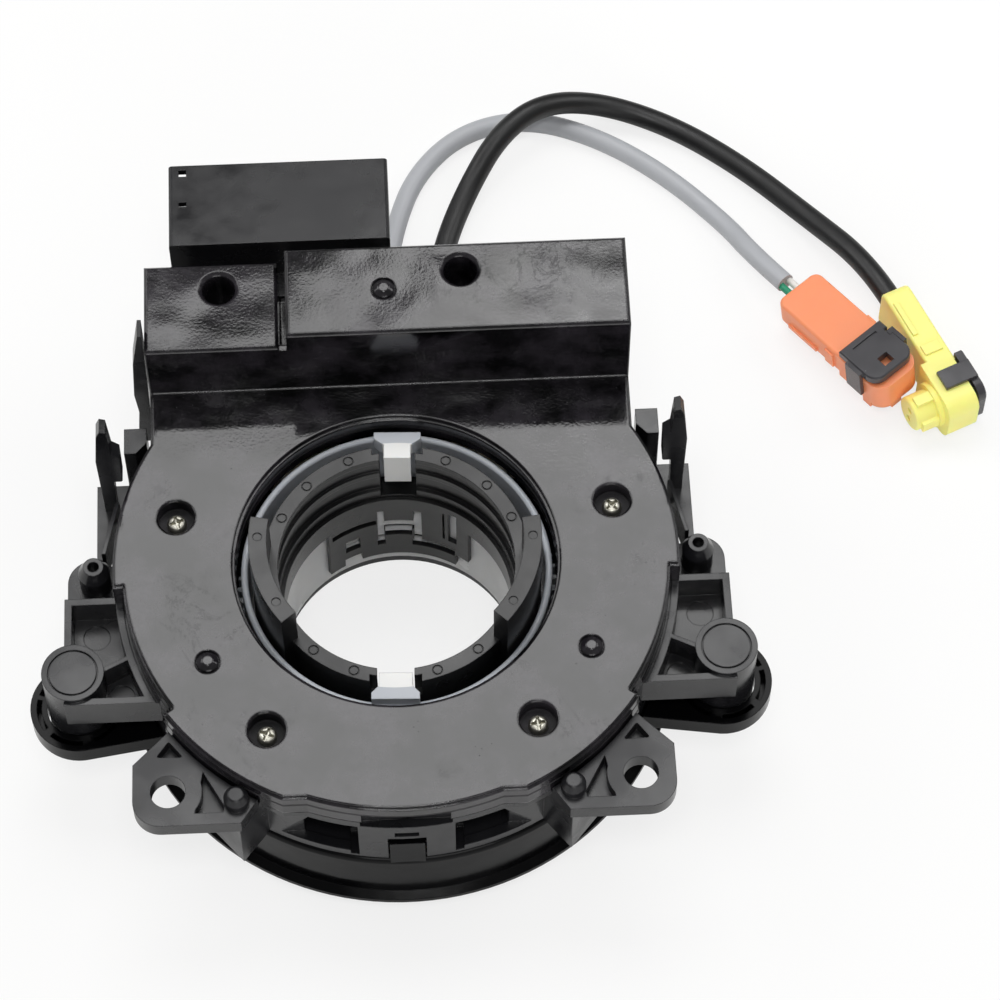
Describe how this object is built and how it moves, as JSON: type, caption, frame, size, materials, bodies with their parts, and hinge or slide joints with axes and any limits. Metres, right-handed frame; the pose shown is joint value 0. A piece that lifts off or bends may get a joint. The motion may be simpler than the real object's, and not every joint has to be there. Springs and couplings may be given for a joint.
{
  "type": "steering clock spring",
  "caption": "Rotary airbag and switch contact for a steering column, with a steering angle sensor, a wound flat cable, mounting ears, harness sockets and two plug leads.",
  "frame": {"origin": "on the steering axis, in the plane of the rotor's wheel-side face, on which the part lies", "axes": "+Z along the steering axis towards the column, +Y towards the side of the harness sockets, X from wing to wing"},
  "size_m": [0.204, 0.1966, 0.0693],
  "materials": {
    "gloss_black": "glossy moulded",
    "satin_black": "satin moulded",
    "rotor_black": "satin moulded",
    "ring_grey": "natural acetal",
    "natural_white": "natural translucent",
    "gear_white": "natural acetal",
    "magnet": "sintered",
    "screw_steel": "zinc plated",
    "board": "coated glass-fibre laminate",
    "chip_black": "moulded epoxy",
    "tinned_pin": "tinned brass",
    "tape_film": "polyester film over copper",
    "grey_sheath": "satin vinyl",
    "black_sheath": "satin vinyl",
    "green_vinyl": "satin vinyl",
    "white_vinyl": "satin vinyl",
    "orange_nylon": "satin moulded",
    "yellow_nylon": "satin moulded",
    "latch_black": "satin moulded"
  },
  "bodies": {
    "stator": {"stator_housing": "satin_black", "lower_case": "satin_black", "sensor_cover": "gloss_black", "cover_screws": "screw_steel", "sensor_board": "board", "hall_sensors": "chip_black", "board_parts": "chip_black", "socket_pins": "tinned_pin", "flat_cable": "tape_film"},
    "rotor": {"rotor_disc": "rotor_black", "rotor_sleeve": "rotor_black", "sensor_ring": "ring_grey", "guide_ring": "natural_white", "hub_insert": "rotor_black", "switch_pins": "tinned_pin", "grey_lead": "grey_sheath", "black_lead": "black_sheath", "green_wire": "green_vinyl", "white_wire": "white_vinyl", "orange_plug": "orange_nylon", "yellow_plug": "yellow_nylon"},
    "gear_a": {"pickup_gear_a": "gear_white", "gear_magnet_a": "magnet"},
    "gear_b": {"pickup_gear_b": "gear_white", "gear_magnet_b": "magnet"},
    "orange_latch": {"orange_lock": "latch_black"},
    "yellow_latch": {"yellow_lock": "latch_black"}
  },
  "joints": [
    {"name": "rotor_spin", "type": "hinge", "parent": "stator", "child": "rotor", "pos_m": [0, 0, 0.03], "axis": [0, 0, 1], "range_deg": [-900, 900]},
    {"name": "gear_a_spin", "type": "hinge", "parent": "stator", "child": "gear_a", "pos_m": [0.02007, 0.03477, 0.0284], "axis": [0, 0, 1], "range_deg": [-3600, 3600]},
    {"name": "gear_b_spin", "type": "hinge", "parent": "stator", "child": "gear_b", "pos_m": [-0.02048, 0.03546, 0.0284], "axis": [0, 0, 1], "range_deg": [-3300, 3300]},
    {"name": "orange_latch_slide", "type": "slide", "parent": "rotor", "child": "orange_latch", "axis": [-0.1287, 0.0556, 0.9901], "range_m": [0, 0.0025]},
    {"name": "yellow_latch_slide", "type": "slide", "parent": "rotor", "child": "yellow_latch", "axis": [0.9171, 0.3987, 0], "range_m": [0, 0.0025]}
  ],
  "couplings": [
    {"joint": "gear_a_spin", "follows": "rotor_spin", "ratio": -4},
    {"joint": "gear_b_spin", "follows": "rotor_spin", "ratio": -3.6364}
  ]
}
